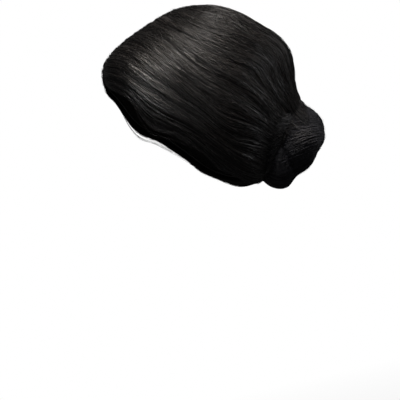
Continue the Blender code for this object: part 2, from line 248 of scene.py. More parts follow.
def smooth_curve(knots, values, where):
    """A smooth curve through values at knots, read at where."""
    knots = np.asarray(knots, float)
    values = np.asarray(values, float)
    where = np.atleast_1d(np.asarray(where, float))
    slopes = np.gradient(values, knots, axis=0)
    first = np.clip(np.searchsorted(knots, where) - 1, 0, len(knots) - 2)
    step = knots[first + 1] - knots[first]
    along = (where - knots[first]) / step
    if values.ndim > 1:
        step = step[:, None]
        along = along[:, None]
    start = (2 * along**3 - 3 * along**2 + 1) * values[first]
    leave = (along**3 - 2 * along**2 + along) * step * slopes[first]
    end = (3 * along**2 - 2 * along**3) * values[first + 1]
    arrive = (along**3 - along**2) * step * slopes[first + 1]
    return start + leave + end + arrive


def profile(angle):
    """The outline's reach and the hair's depth in the middle plane, in metres."""
    rows = np.array(PROFILE, float)
    around = np.concatenate([rows - (360, 0, 0), rows, rows + (360, 0, 0)])
    turned = (np.atleast_1d(angle) - PROFILE_START) % 360.0 + PROFILE_START
    read = smooth_curve(around[:, 0], around[:, 1:], turned)
    return read[:, 0] * CROWN_REACH, read[:, 1] * CROWN_DEPTH


def head_point(angle, side, depth, outset=0.0):
    """A point of the wearer's left side, about the middle of the head. side is 1 in the
    middle plane and 0 at the widest place; depth is 0 on the cap and 1 outside."""
    reach, hair = profile(angle)
    reach = reach - hair * (1.0 - depth) + outset
    half_width = HAIR_WIDTH / 2 - SIDE_DEPTH * (1.0 - depth) + outset
    lean = np.radians(90.0) * (1.0 - np.clip(side, 0.0, 1.0))
    out = half_width * np.sin(lean) ** (2 / FULLNESS)
    reach = reach * np.cos(lean) ** (2 / FULLNESS)
    turn = np.radians(angle)
    return np.stack([out, reach * np.cos(turn), reach * np.sin(turn)], axis=-1)


def guide_curve(path):
    """A guide strand as even points of the flat map of one side of the head, in which the
    middle plane is the unit circle and the widest place is its centre."""
    angle, reach = np.array(path, float).T
    side = 1.0 - np.degrees(np.arccos(np.clip(reach, 0, 1) ** (FULLNESS / 2))) / 90.0
    turn = np.radians(angle)
    points = np.stack([side * np.cos(turn), side * np.sin(turn)], axis=-1)
    chords = np.concatenate([[0.0], np.cumsum(np.hypot(*np.diff(points, axis=0).T))])
    curve = smooth_curve(chords, points, np.linspace(0.0, chords[-1], 400))
    length = np.concatenate([[0.0], np.cumsum(np.hypot(*np.diff(curve, axis=0).T))])
    even = np.linspace(0.0, length[-1], GUIDE_STEPS + 1)
    return np.stack([np.interp(even, length, axis) for axis in curve.T], axis=-1)


GUIDE_SHARES = np.array([share for share, _ in GUIDE_STRANDS])
GUIDE_CURVES = np.array([guide_curve(path) for _, path in GUIDE_STRANDS])
SEAT_HEIGHT = head_point(90.0, np.array([1.0]), 0.0, -(CAP_GAP + CAP_WALL))[0, 2]
ORIGIN = np.array([0.0, 0.0, SEAT_HEIGHT])


def flow_at(column, flow):
    """Angle and side of points given by their column and their share of the way along."""
    place = np.clip(flow, 0.0, 1.0) * GUIDE_STEPS
    low = np.clip(place.astype(int), 0, GUIDE_STEPS - 1)
    part = (place - low)[..., None]
    values = GUIDE_CURVES[:, low] * (1.0 - part) + GUIDE_CURVES[:, low + 1] * part
    slopes = np.gradient(values, GUIDE_SHARES, axis=0)
    first = np.clip(np.searchsorted(GUIDE_SHARES, column) - 1, 0, len(GUIDE_SHARES) - 2)
    step = (GUIDE_SHARES[first + 1] - GUIDE_SHARES[first])[..., None]
    along = (column - GUIDE_SHARES[first])[..., None] / step

    def pick(array, index):
        return np.take_along_axis(array, index[None, ..., None], axis=0)[0]

    start = (2 * along**3 - 3 * along**2 + 1) * pick(values, first)
    leave = (along**3 - 2 * along**2 + along) * step * pick(slopes, first)
    end = (3 * along**2 - 2 * along**3) * pick(values, first + 1)
    arrive = (along**3 - along**2) * step * pick(slopes, first + 1)
    flat = start + leave + end + arrive
    side = np.minimum(np.hypot(flat[..., 0], flat[..., 1]), 1.0)
    angle = np.degrees(np.arctan2(flat[..., 1], flat[..., 0]))
    on_middle = (flow <= 0.0) | (flow >= 1.0) | (column >= 1.0)
    return angle, np.where(on_middle, 1.0, side)


def hair_depth(column, flow):
    """How much of the hair's full depth stands at each point, as a share."""
    edge = EDGE_DEPTH / SIDE_DEPTH
    gathered = smooth_step((flow - GATHER_START) / GATHER_LENGTH)
    edge = edge + (1.0 - edge) * gathered
    share = edge + (1.0 - edge) * smooth_step(column / EDGE_COLUMNS) ** VALLEY_POWER
    parted = 1.0 - smooth_step((column - PARTING_END) / PARTING_FADE + 1.0)
    groove = GROOVE_DEPTH / CROWN_DEPTH * parted * (1.0 - smooth_step(flow / GROOVE_FLOW))
    return share * (1.0 - groove)


def lock_valleys(even, column, flow):
    """Depth of the valleys between the broad locks, in metres."""
    valley = 1.0 - np.abs(np.sin(np.pi * LOCKS * even)) ** VALLEY_POWER
    fade = 1.0 - smooth_step((flow - VALLEY_END) / VALLEY_FADE)
    thin = smooth_step(column / VALLEY_EDGE)
    return LOCK_RELIEF * valley * smooth_step(flow / VALLEY_START) * fade * thin


def lock_column(even):
    return even + LOCK_UNEVEN * np.sin(4 * np.pi * even)


def head_points(angle, side, depth, outset):
    """head_point for arrays of any shape."""
    shape = angle.shape
    outset = np.broadcast_to(outset, shape).ravel()
    return head_point(angle.ravel(), side.ravel(), depth, outset).reshape(*shape, 3)


def noise_at(rng, cells_across, cells_along, across, along):
    """Smooth random values between -1 and 1 at across and along, which run from 0 to 1."""
    grid = rng.uniform(-1.0, 1.0, (cells_across + 2, cells_along + 2))
    place = np.clip(across, 0.0, 1.0) * cells_across
    low = place.astype(int)
    part = smooth_step(place - low)
    place_along = np.clip(along, 0.0, 1.0) * cells_along
    low_along = place_along.astype(int)
    part_along = smooth_step(place_along - low_along)
    near = grid[low, low_along] * (1 - part) + grid[low + 1, low_along] * part
    far = grid[low, low_along + 1] * (1 - part) + grid[low + 1, low_along + 1] * part
    return near * (1 - part_along) + far * part_along


def hair_surface(even, flow, relief):
    """Points of the outside of one side's hair, lowered by relief."""
    column = lock_column(even)
    angle, side = flow_at(column, flow)
    inner = head_points(angle, side, 0.0, 0.0)
    full = head_points(angle, side, 1.0, -lock_valleys(even, column, flow) - relief)
    return inner + (full - inner) * hair_depth(column, flow)[..., None]


def even_grid(columns, rows):
    across = np.linspace(0.0, 1.0, columns + 1)[:, None] * np.ones(rows + 1)
    along = np.linspace(0.0, 1.0, rows + 1)[None, :] * np.ones((columns + 1, 1))
    return across, along


def clump_relief(rng, even, flow):
    """Depth of the small furrows between the ridges of combed hair."""
    drift = 1.6 * noise_at(rng, 24, 5, even, flow) + 0.5 * noise_at(rng, 90, 9, even, flow)
    ridge = np.abs(np.sin(np.pi * (CLUMPS * even + drift))) ** 0.7
    height = 0.5 + 0.5 * noise_at(rng, CLUMPS, 6, even, flow)
    return CLUMP_RELIEF * (1.0 - ridge * height)


def normals_of(points, centre):
    """Directions straight out of a grid of points."""
    across = np.gradient(points, axis=0)
    along = np.gradient(points, axis=1)
    normal = np.cross(across, along)
    length = np.linalg.norm(normal, axis=-1, keepdims=True)
    normal = normal / np.maximum(length, 1e-12)
    away = points - centre
    sign = np.sign(np.sum(normal * away, axis=-1, keepdims=True))
    return normal * np.where(sign == 0, 1.0, sign)


def read_grid(values, across, along):
    """Values of a grid of points, read between them; across and along run from 0 to 1."""
    columns = values.shape[0] - 1
    rows = values.shape[1] - 1
    place = np.clip(across, 0.0, 1.0) * columns
    low = np.minimum(place.astype(int), columns - 1)
    part = (place - low)[..., None]
    place_along = np.clip(along, 0.0, 1.0) * rows
    low_along = np.minimum(place_along.astype(int), rows - 1)
    part_along = (place_along - low_along)[..., None]
    near = values[low, low_along] * (1 - part) + values[low + 1, low_along] * part
    far = values[low, low_along + 1] * (1 - part) + values[low + 1, low_along + 1] * part
    return near * (1 - part_along) + far * part_along


def make_piece(name, points, faces, uvs, material, tone=None):
    """One object that rides on the part, with an unwrapped map for its finish."""
    mesh = bpy.data.meshes.new(name)
    mesh.from_pydata(points, [], faces)
    layer = mesh.uv_layers.new(name="OFBake")
    layer.data.foreach_set("uv", np.ascontiguousarray(uvs, np.float32).ravel())
    if tone is not None:
        values = mesh.attributes.new("tone", "FLOAT", "POINT")
        values.data.foreach_set("value", np.ascontiguousarray(tone, np.float32))
    mesh.shade_smooth()
    mesh.materials.append(material)
    item = bpy.data.objects.new(name, mesh)
    bpy.context.scene.collection.objects.link(item)
    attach(item, "root")
    return item


def grid_quads(columns, rows, first=0):
    """Quads of a grid of (columns + 1) by (rows + 1) points, as an array."""
    index = first + np.arange((columns + 1) * (rows + 1)).reshape(columns + 1, rows + 1)
    corners = (index[:-1, :-1], index[:-1, 1:], index[1:, 1:], index[1:, :-1])
    return np.stack(corners, axis=-1).reshape(-1, 4)


def tubes(name, centre, normal, half_width, half_height, tone, material):
    """Closed tubes along rows of points. centre and normal are arrays of (tubes, points,
    3); the half sizes are arrays of (tubes, points)."""
    count, length, _ = centre.shape
    tangent = np.gradient(centre, axis=1)
    tangent /= np.maximum(np.linalg.norm(tangent, axis=-1, keepdims=True), 1e-12)
    across = np.cross(tangent, normal)
    across /= np.maximum(np.linalg.norm(across, axis=-1, keepdims=True), 1e-12)
    up = np.cross(across, tangent)
    corners = []
    for corner in range(TUBE_SIDES):
        angle = 2 * np.pi * (corner + 0.25) / TUBE_SIDES
        corners.append(
            centre
            + across * (np.cos(angle) * half_width)[..., None]
            + up * (np.sin(angle) * half_height)[..., None]
        )
    points = np.stack(corners, axis=2).reshape(-1, 3)
    index = np.arange(count * length * TUBE_SIDES).reshape(count, length, TUBE_SIDES)
    turned = np.roll(index, -1, axis=2)
    quads = np.stack([index[:, :-1], turned[:, :-1], turned[:, 1:], index[:, 1:]], axis=-1)
    quads = quads.reshape(-1, 4)
    faces = quads.tolist() + index[:, 0, ::-1].tolist() + index[:, -1].tolist()
    row, step, edge = np.indices((count, length - 1, TUBE_SIDES))
    u = np.stack([step, step, step + 1, step + 1], axis=-1) / (length - 1)
    around = np.stack([edge, edge + 1, edge + 1, edge], axis=-1) / TUBE_SIDES
    v = (row[..., None] + around) / count
    uvs = np.stack([u, v], axis=-1).reshape(-1, 2)
    caps = np.repeat((np.arange(count) + 0.5) / count, TUBE_SIDES)
    start = np.stack([np.zeros_like(caps), caps], axis=-1)
    end = np.stack([np.ones_like(caps), caps], axis=-1)
    uvs = np.concatenate([uvs, start, end])
    tones = np.repeat(tone, length * TUBE_SIDES)
    make_piece(name, points, faces, uvs, material, tones)


def taper(steps, start, end):
    """1 along a strand, thinner over its first and last shares."""
    place = np.linspace(0.0, 1.0, steps + 1)
    rise = 0.25 + 0.75 * smooth_step(place / start)
    fall = 0.15 + 0.85 * smooth_step((1.0 - place) / end)
    return rise * fall


def steps_along(steps):
    """Places along each strand, from 0 to 1, as one row."""
    return np.linspace(0.0, 1.0, steps + 1)[None, :]


def end_dive(place, start, end):
    """1 at a strand's ends and 0 between them, over its first and last shares."""
    return 1.0 - smooth_step(place / start) * smooth_step((1.0 - place) / end)


def mirrored(points, sign):
    return points * np.array([sign, 1.0, 1.0])


def hair_shell(name, sign, outer, inner, material):
    """The body of one side's hair: a closed shell with combed ridges on its outside."""
    columns, rows = outer.shape[0] - 1, outer.shape[1] - 1
    few_columns, few_rows = inner.shape[0] - 1, inner.shape[1] - 1
    points = np.concatenate([outer.reshape(-1, 3), inner.reshape(-1, 3)])
    points[:, 0] = np.maximum(points[:, 0], PIECE_GAP / 2) * sign
    outside = grid_quads(columns, rows)
    first = (columns + 1) * (rows + 1)
    inside = grid_quads(few_columns, few_rows, first)[:, ::-1]
    faces = outside.tolist() + inside.tolist()
    out = np.arange(first).reshape(columns + 1, rows + 1)
    lining = first + np.arange((few_columns + 1) * (few_rows + 1))
    lining = lining.reshape(few_columns + 1, few_rows + 1)
    across, along = even_grid(columns, rows)
    lining_across, lining_along = even_grid(few_columns, few_rows)
    beside = SHELL_MAP + lining_across.ravel() * (1.0 - SHELL_MAP)
    flat = np.stack([np.concatenate([across.ravel() * SHELL_MAP, beside]),
                     np.concatenate([along.ravel(), lining_along.ravel()])], axis=-1)
    for edge, seam in ((out[0], lining[0]), (out[-1][::-1], lining[-1][::-1]),
                       (out[:, 0][::-1], lining[:, 0][::-1]), (out[:, -1], lining[:, -1])):
        ratio = (len(edge) - 1) // (len(seam) - 1)
        for place in range(len(seam) - 1):
            run = edge[place * ratio:(place + 1) * ratio + 1].tolist()
            faces.append(run[::-1] + [int(seam[place]), int(seam[place + 1])])
    if sign < 0:
        faces = [face[::-1] for face in faces]
    corners = np.concatenate([np.asarray(face) for face in faces])
    return make_piece(name, points, faces, flat[corners], material)


class Layer:
    """How one layer of strands lies: how many, in how many tufts of what width, how thick,
    how long as a share of the way to the bun, how high, how far they slant across the
    others, their range of tones with its scatter, and with how many steps."""

    def __init__(self, count, tufts, spread, radius, length, lift, slant,
                 tones=(0.1, 0.8, 0.12), steps=STRAND_STEPS):
        self.count = count
        self.tufts = tufts
        self.spread = spread
        self.radius = radius
        self.length = length
        self.lift = lift
        self.slant = slant
        self.tones = tones
        self.steps = steps


def strand_paths(rng, layer):
    """Places of a layer's strands across and along a grid, each from 0 to 1, with their
    heights and tones. The strands of a tuft run together."""
    count = layer.count
    tufts = layer.tufts
    tuft = np.arange(count) % tufts
    place = steps_along(layer.steps)

    def shared(values, own):
        """A value of each tuft, with each strand's own part added."""
        return values[tuft][:, None] + own[:, None]

    length = shared(rng.uniform(*layer.length, tufts), rng.normal(0.0, 0.04, count))
    start = shared(rng.uniform(-0.25, 1.0, tufts), rng.normal(0.0, 0.03, count))
    start = np.clip(start * (1.08 - length * 0.2), 0.0, 1.0 - length * 0.5)
    along = np.minimum(start + length * place, 1.0)
    offset = rng.normal(0.0, 1.0, count)
    even = shared(rng.uniform(0.0, 1.0, tufts) ** CROWN_SHARE, offset * layer.spread)
    drift = shared(rng.normal(0.0, STRAND_DRIFT, tufts), rng.normal(0.0, STRAND_DRIFT / 4, count))
    phase = shared(rng.uniform(size=tufts), rng.normal(0.0, 0.03, count))
    turns = shared(rng.uniform(1.0, 2.6, tufts), np.zeros(count))
    own_phase = rng.uniform(size=(count, 1))
    own_turns = rng.uniform(1.5, 3.5, (count, 1))
    waves = np.sin(2 * np.pi * (turns * place + phase))
    own_waves = np.sin(2 * np.pi * (own_turns * place + own_phase))
    across = even + drift * np.sin(2 * np.pi * along) + KINK * (waves + OWN_KINK * own_waves)
    across = across + rng.normal(0.0, layer.slant, (count, 1)) * (place - 0.5)
    bob = np.sin(2 * np.pi * (turns * 1.4 * place + phase * 3.0))
    dive = end_dive(place, np.where(start < ROOT_FLOW, ROOT_SINK, SINK), SINK)
    rise = shared(rng.uniform(*layer.lift, tufts), rng.normal(0.0, 0.00008, count))
    rise = rise - TUFT_CROWN * np.minimum(offset**2, 3.0)[:, None]
    rise = rise + KINK_RISE * (bob + OWN_KINK * own_waves)
    rise = rise - dive * (STRAND_DIVE + rise)
    low, high, scatter = layer.tones
    tone = shared(rng.uniform(low, high, tufts), rng.normal(0.0, scatter, count))
    return across, along, rise, np.clip(tone[:, 0], 0.0, 1.0)


def side_strands(name, rng, sign, grid, normals, layer, material):
    """Strands that lie along the combed hair of one side, from the parting to the bun."""
    across, along, rise, tone = strand_paths(rng, layer)
    drift = np.random.default_rng(CLUMP_SEED)
    across = across + CLUMP_DRIFT * noise_at(drift, 22, 6, across, along)
    across = np.clip(across, 0.001, 0.999)
    out = read_grid(normals, across, along)
    centre = read_grid(grid, across, along) + out * rise[..., None]
    centre[..., 0] = np.maximum(centre[..., 0], PIECE_GAP / 2)
    size = rng.uniform(0.6, 1.35, (layer.count, 1)) * layer.radius
    size = size * taper(layer.steps, STRAND_ENDS, STRAND_ENDS)[None, :]
    centre = mirrored(centre, sign) - ORIGIN
    out = mirrored(out, sign)
    tubes(name, centre, out, size, size * FLATNESS, tone, material)


def free_hairs(name, sign, even, flow, lift, radius, tone, material):
    """Single hairs given by their paths over the head, which may leave the hairline."""
    centre = hair_surface(even, flow, -lift)
    centre[..., 0] = np.maximum(centre[..., 0], PIECE_GAP / 2)
    out = centre / np.linalg.norm(centre, axis=-1, keepdims=True)
    steps = even.shape[1] - 1
    size = radius * taper(steps, STRAND_ENDS, 2 * STRAND_ENDS)[None, :]
    tubes(name, mirrored(centre, sign) - ORIGIN, mirrored(out, sign), size, size, tone,
          material)


def edge_hairs(side, sign, rng, material):
    """Fine hairs along the free hairline, some of which stray past it."""
    count = EDGE_HAIRS
    place = steps_along(STRAND_STEPS)
    length = rng.uniform(0.06, 0.2, (count, 1))
    flow = rng.uniform(0.0, 0.98, (count, 1)) * (1.0 - length) + length * place
    even = rng.uniform(-0.004, 0.016, (count, 1))
    even = even + rng.normal(0.0, 0.012, (count, 1)) * (place - 0.5)
    even = even + 0.002 * np.sin(2 * np.pi * (2.0 * place + rng.uniform(size=(count, 1))))
    lift = rng.uniform(0.0, 0.0004, (count, 1)) * np.ones_like(place)
    radius = rng.uniform(0.6, 1.2, (count, 1)) * EDGE_RADIUS
    free_hairs(f"{side}_edge_hairs", sign, even, flow, lift, radius,
               rng.uniform(0.1, 0.9, count), material)


def temple_wisps(side, sign, rng, material):
    """Loose hairs that leave the hairline at the temple and bow back to it over the ear."""
    count = WISPS
    place = steps_along(LOOSE_STEPS)
    start = rng.uniform(0.17, 0.25, (count, 1))
    end = rng.uniform(0.58, 0.70, (count, 1))
    flow = start + (end - start) * place
    bulge = rng.uniform(0.25, 1.0, (count, 1)) * WISP_BULGE
    phase = rng.uniform(size=(count, 1))
    even = 0.015 - bulge * np.sin(np.pi * place) ** 0.8
    even = even + 0.004 * np.sin(2 * np.pi * (1.5 * place + phase)) * np.sin(np.pi * place)
    lift = 0.0006 * np.sin(np.pi * place) * np.ones_like(even)
    radius = rng.uniform(0.7, 1.1, (count, 1)) * WISP_RADIUS
    free_hairs(f"{side}_temple_wisps", sign, even, flow, lift, radius,
               rng.uniform(0.5, 1.0, count), material)


def hair_side(side, sign, seed, materials):
    """Every piece of the hair of one side."""
    rng = np.random.default_rng(seed)
    even, flow = even_grid(SHELL_COLUMNS, SHELL_ROWS)
    outer = hair_surface(even, flow, clump_relief(rng, even, flow))
    few_even, few_flow = even_grid(LINING_COLUMNS, LINING_ROWS)
    angle, share = flow_at(lock_column(few_even), few_flow)
    inner = head_points(angle, share, 0.0, 0.0)
    shell = hair_shell(f"{side}_combed_hair", sign, outer - ORIGIN, inner - ORIGIN,
                       materials["combed"])
    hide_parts(f"hair_{side}")
    normals = normals_of(outer, np.zeros(3))
    close = Layer(SIDE_STRANDS, 420, 0.0055, STRAND_RADIUS, (0.2, 0.5), (0.0, 0.0009), 0.006)
    above = Layer(TOP_STRANDS, 300, 0.0022, TOP_RADIUS, (0.15, 0.45), (0.0005, 0.0014), 0.03)
    loose = Layer(LOOSE_STRANDS, LOOSE_STRANDS, 0.01, LOOSE_RADIUS, (0.4, 0.9),
                  (0.0008, LOOSE_LIFT), 0.05, steps=LOOSE_STEPS)
    # The bright strands take the lightest tones, so their colour is lighter as well as smooth:
    # painted highlight.
    bright = Layer(BRIGHT_STRANDS, BRIGHT_STRANDS, 0.01, BRIGHT_RADIUS, (0.5, 0.85),
                   (0.0011, 0.0016), 0.04, (0.88, 0.93, 0.0), LOOSE_STEPS)
    layers = (("strands", close), ("top_strands", above), ("loose_strands", loose),
              ("bright_strands", bright))
    for label, layer in layers:
        side_strands(f"{side}_{label}", rng, sign, outer, normals, layer, materials["strands"])
    edge_hairs(side, sign, rng, materials["strands"])
    temple_wisps(side, sign, rng, materials["strands"])


def weft_relief(flow):
    """How deep the inside of the cap lies between its rows of sewn hair."""
    return WEFT_RELIEF * (1.0 - np.abs(np.sin(np.pi * WEFTS * flow)) ** 0.5)


def cap_walls(columns, rows, depth, relief):
    """One wall of the cap's left half, from its bound edge to the middle."""
    across, flow = even_grid(columns, rows)
    angle, side = flow_at(CAP_MARGIN + (1.0 - CAP_MARGIN) * across, flow)
    hem = WEFT_RELIEF * smooth_step(1.0 - across / CAP_HEM)
    inward = weft_relief(flow) * smooth_step(across / CAP_HEM)
    outset = -depth + relief * (inward - hem * 0.5)
    return head_points(angle, side, 0.0, outset)


def net_cap(material):
    """The stretch cap that the hair is sewn to: a thin shell under both sides."""
    inside = cap_walls(CAP_COLUMNS, CAP_ROWS, CAP_GAP + CAP_WALL, 1.0)
    outside = cap_walls(CAP_COLUMNS, CAP_BACK_ROWS, CAP_GAP, 0.0)
    ratio = CAP_ROWS // CAP_BACK_ROWS
    fine = (CAP_COLUMNS + 1) * (CAP_ROWS + 1)
    half = fine + (CAP_COLUMNS + 1) * (CAP_BACK_ROWS + 1)
    halves = []
    faces = []
    flat = []
    for turned, sign in enumerate((1.0, -1.0)):
        first = turned * half
        walls = np.concatenate([inside.reshape(-1, 3), outside.reshape(-1, 3)])
        halves.append(mirrored(walls, sign))
        lining = grid_quads(CAP_COLUMNS, CAP_ROWS, first)
        back = grid_quads(CAP_COLUMNS, CAP_BACK_ROWS, first + fine)
        rim = []
        for row in range(CAP_BACK_ROWS):
            near = [first + row * ratio + step for step in range(ratio + 1)]
            far = [first + fine + row, first + fine + row + 1]
            rim.append([far[0], *near, far[1]])
        if sign > 0:
            faces += lining.tolist() + back[:, ::-1].tolist() + rim
        else:
            faces += lining[:, ::-1].tolist() + back.tolist() + [face[::-1] for face in rim]
        across, along = even_grid(CAP_COLUMNS, CAP_ROWS)
        wide, long = even_grid(CAP_COLUMNS, CAP_BACK_ROWS)
        u = np.concatenate([across.ravel(), wide.ravel()]) * CAP_MAP + 0.5 * turned
        v = np.concatenate([along.ravel(), long.ravel()])
        flat.append(np.stack([u, v], axis=-1))
    corners = np.concatenate([np.asarray(face) for face in faces])
    cap = make_piece("net_cap", np.concatenate(halves) - ORIGIN, faces,
                     np.concatenate(flat)[corners], material)
    join_middle(cap.data)
    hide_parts("stretch_cap")


def join_middle(mesh):
    """Joins the two halves of a mesh where they meet on the middle plane."""
    shape = bmesh.new()
    shape.from_mesh(mesh)
    middle = [point for point in shape.verts if abs(point.co.x) < MIDDLE_REACH]
    bmesh.ops.remove_doubles(shape, verts=middle, dist=MIDDLE_REACH)
    shape.to_mesh(mesh)
    shape.free()


def bun_frame():
    """The bun's seat: its middle, and its directions up, out and sideways."""
    seat = head_point(np.array([BUN_ANGLE]), np.array([1.0]), 1.0)[0]
    turn = np.radians(BUN_ANGLE)
    out = np.array([0.0, np.cos(turn), np.sin(turn)])
    up = np.array([0.0, -np.sin(turn), np.cos(turn)])
    across = np.array([1.0, 0.0, 0.0])
    return seat, up, out, across


def sunk(points, outset):
    """Below 0 where a point is inside the hair's outer surface moved out by outset."""
    reach, _ = profile(np.degrees(np.arctan2(points[:, 2], points[:, 1])))
    share = np.hypot(points[:, 1], points[:, 2]) / (reach + outset)
    across = np.abs(points[:, 0]) / (HAIR_WIDTH / 2 + outset)
    return share**FULLNESS + across**FULLNESS - 1.0


def dome_section(turn):
    """Reach of the dome's rim up and sideways, and how full its side is there."""
    up = np.cos(turn) * BUN_HEIGHT / 2
    across = np.sin(turn) * BUN_WIDTH / 2
    return up, across, DOME_FULLNESS[0] + DOME_FULLNESS[1] * np.cos(turn)


def dome_point(turn, tilt, outset=0.0):
    """A point of the bun's dome. turn goes round from the top of the rim; tilt is 0 at the
    middle of the swirl and a right angle at the widest ring."""
    seat, up, out, across = bun_frame()
    high, wide, fullness = dome_section(turn)
    power = 2.0 / fullness
    spread = np.abs(np.sin(tilt)) ** power
    height = np.sign(np.cos(tilt)) * np.abs(np.cos(tilt)) ** power * (BUN_DEPTH + outset)
    growth = 1.0 + outset / (BUN_HEIGHT / 2)
    middle = seat + up * BUN_SHIFT * BUN_HEIGHT
    return (
        middle
        + np.multiply.outer(high * spread * growth, up)
        + np.multiply.outer(wide * spread * growth, across)
        + np.multiply.outer(height, out)
    )


def seated_tilt(turn, outset=0.0):
    """The tilt at which the dome's side comes down on the hair behind it."""
    low = np.full(len(turn), np.radians(SEAT_TILTS[0]))
    high = np.full(len(turn), np.radians(SEAT_TILTS[1]))
    for _ in range(HALVINGS):
        middle = (low + high) / 2
        inside = sunk(dome_point(turn, middle, outset), PIECE_GAP) < 0
        high = np.where(inside, middle, high)
        low = np.where(inside, low, middle)
    return low


def onto_seat(points, out):
    """Points moved along the bun's axis onto the hair's outer surface, clear of it."""
    low = np.full(len(points), -SEAT_SEARCH * BUN_WIDTH)
    high = np.full(len(points), SEAT_SEARCH * BUN_WIDTH)
    for _ in range(HALVINGS):
        middle = (low + high) / 2
        inside = sunk(points + middle[:, None] * out, PIECE_GAP) < 0
        low = np.where(inside, middle, low)
        high = np.where(inside, high, middle)
    return points + high[:, None] * out


def bun_grid(rng):
    """The outside of the bun, as a grid of rings from its middle to its rim."""
    seat, _, out, _ = bun_frame()
    share = np.linspace(0.0, 1.0, BUN_ROWS + 1)[1:]
    start = 2 * np.pi * np.arange(BUN_COLUMNS + 1) / BUN_COLUMNS
    coil = np.linspace(0.0, 1.0, BUN_COLUMNS + 1)
    valley = 1.0 - np.abs(np.sin(np.pi * BUN_COILS * coil)) ** VALLEY_POWER
    rows = []
    drift = rng.uniform(-1.0, 1.0, (4, 3))
    for place in share:
        turn = start - BUN_TWIST * (1.0 - place)
        tilt = seated_tilt(turn) * place
        relief = BUN_RELIEF * valley * np.sin(np.pi * place) ** COIL_POWER
        wave = sum(
            drift[k, 0] * np.sin(start * (k + 1) + drift[k, 1] * 6 + place * drift[k, 2] * 4)
            for k in range(4)
        )
        ridge = np.abs(np.sin(BUN_CLUMPS * start / 2 + wave)) ** 0.7
        relief = relief + CLUMP_RELIEF / 2 * (1.0 - ridge) * min(1.0, place * 3.0)
        ring = dome_point(turn, tilt)
        inward = (seat - ring) / np.linalg.norm(seat - ring, axis=1)[:, None]
        dimple = DIMPLE_DEPTH * np.exp(-((place / DIMPLE_SPREAD) ** 2))
        rows.append(ring + inward * relief[:, None] - out * dimple)
    return np.stack(rows, axis=1)


def bun_shell(grid, material):
    """The body of the bun, hollowed to fit the hair behind it."""
    _, _, out, _ = bun_frame()
    rings = [grid[:-1, row] for row in range(grid.shape[1])]
    rim = rings[-1]
    middle = rim.mean(axis=0)
    for share in np.linspace(1.0, 0.0, SEAT_ROWS + 1)[1:-1]:
        rings.append(onto_seat(middle + (rim - middle) * share, out))
    pole = dome_point(np.zeros(1), np.zeros(1))[0] - out * DIMPLE_DEPTH
    foot = onto_seat(middle[None, :], out)[0]
    points = np.concatenate([*rings, [pole], [foot]]) - ORIGIN
    count = len(rim)
    faces = []
    uvs = []
    for ring in range(len(rings) - 1):
        for column in range(count):
            here = ring * count + column
            beside = ring * count + (column + 1) % count
            faces.append((here, beside, beside + count, here + count))
            left, right = column / count, (column + 1) / count
            low, high = (ring + 1) / len(rings), (ring + 2) / len(rings)
            uvs += [(left, low), (right, low), (right, high), (left, high)]
    last = (len(rings) - 1) * count
    for column in range(count):
        beside = (column + 1) % count
        left, right = column / count, (column + 1) / count
        faces.append((beside, column, len(points) - 2))
        uvs += [(right, 1 / len(rings)), (left, 1 / len(rings)), (left, 0.0)]
        faces.append((last + column, last + beside, len(points) - 1))
        uvs += [(left, 1.0), (right, 1.0), (right, 1.0)]
    shell = make_piece("coiled_bun", points, faces, uvs, material)
    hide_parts("bun")


def bun_strands(name, rng, grid, normals, layer, material):
    """Strands that follow the swirl of the bun from its rim to its middle."""
    count = layer.count
    place = steps_along(layer.steps)
    length = rng.uniform(*layer.length, (count, 1))
    start = np.clip(rng.uniform(-0.1, 1.0, (count, 1)), 0.03, 1.0 - length * 0.6)
    along = np.minimum(start + length * place, 1.0)
    drift = rng.normal(0.0, 0.012, (count, 2))
    wave = rng.uniform(1.2, 3.0, (count, 1)) * place + rng.uniform(size=(count, 1))
    across = rng.uniform(0.0, 1.0, (count, 1)) + drift[:, :1] * np.sin(np.pi * along)
    across = across + drift[:, 1:] * (1.0 - along) + KINK * np.sin(2 * np.pi * wave)
    across = across % 1.0
    dive = end_dive(place, SINK, SINK)
    rise = rng.uniform(*layer.lift, (count, 1))
    rise = rise + KINK_RISE / 2 * np.sin(2 * np.pi * wave * 1.3) - dive * (STRAND_DIVE + rise)
    out = read_grid(normals, across, along)
    centre = read_grid(grid, across, along) + out * rise[..., None]
    size = rng.uniform(*STRAND_SIZES, (count, 1)) * layer.radius
    size = size * taper(layer.steps, STRAND_ENDS, STRAND_ENDS)[None, :]
    tone = rng.uniform(0.0, 1.0, count)
    tubes(name, centre - ORIGIN, out, size, size * FLATNESS, tone, material)


def rim_paths(turn, reach):
    """Points near the foot of the bun and the way out of them. reach is above 0 on the hair
    outside the rim and below 0 on the dome, and the corner between them is filled."""
    _, up, out, across = bun_frame()
    flat = turn.ravel()
    far = reach.ravel()
    tilt = seated_tilt(flat)
    high, wide, _ = dome_section(flat)
    away = np.multiply.outer(high, up) + np.multiply.outer(wide, across)
    away = away / np.linalg.norm(away, axis=1)[:, None]
    rim = dome_point(flat, tilt)
    on_hair = onto_seat(rim + away * np.maximum(far, 0.0)[:, None], out)
    on_dome = dome_point(flat, tilt + np.minimum(far, 0.0) / (BUN_HEIGHT / 2))
    points = np.where((far > 0)[:, None], on_hair, on_dome)
    lean = away + out
    lean = lean / np.linalg.norm(lean, axis=1)[:, None]
    points = points + lean * (FILLET_RISE * np.exp(-((far / FILLET_REACH) ** 2)))[:, None]
    return points.reshape(*turn.shape, 3), lean.reshape(*turn.shape, 3)


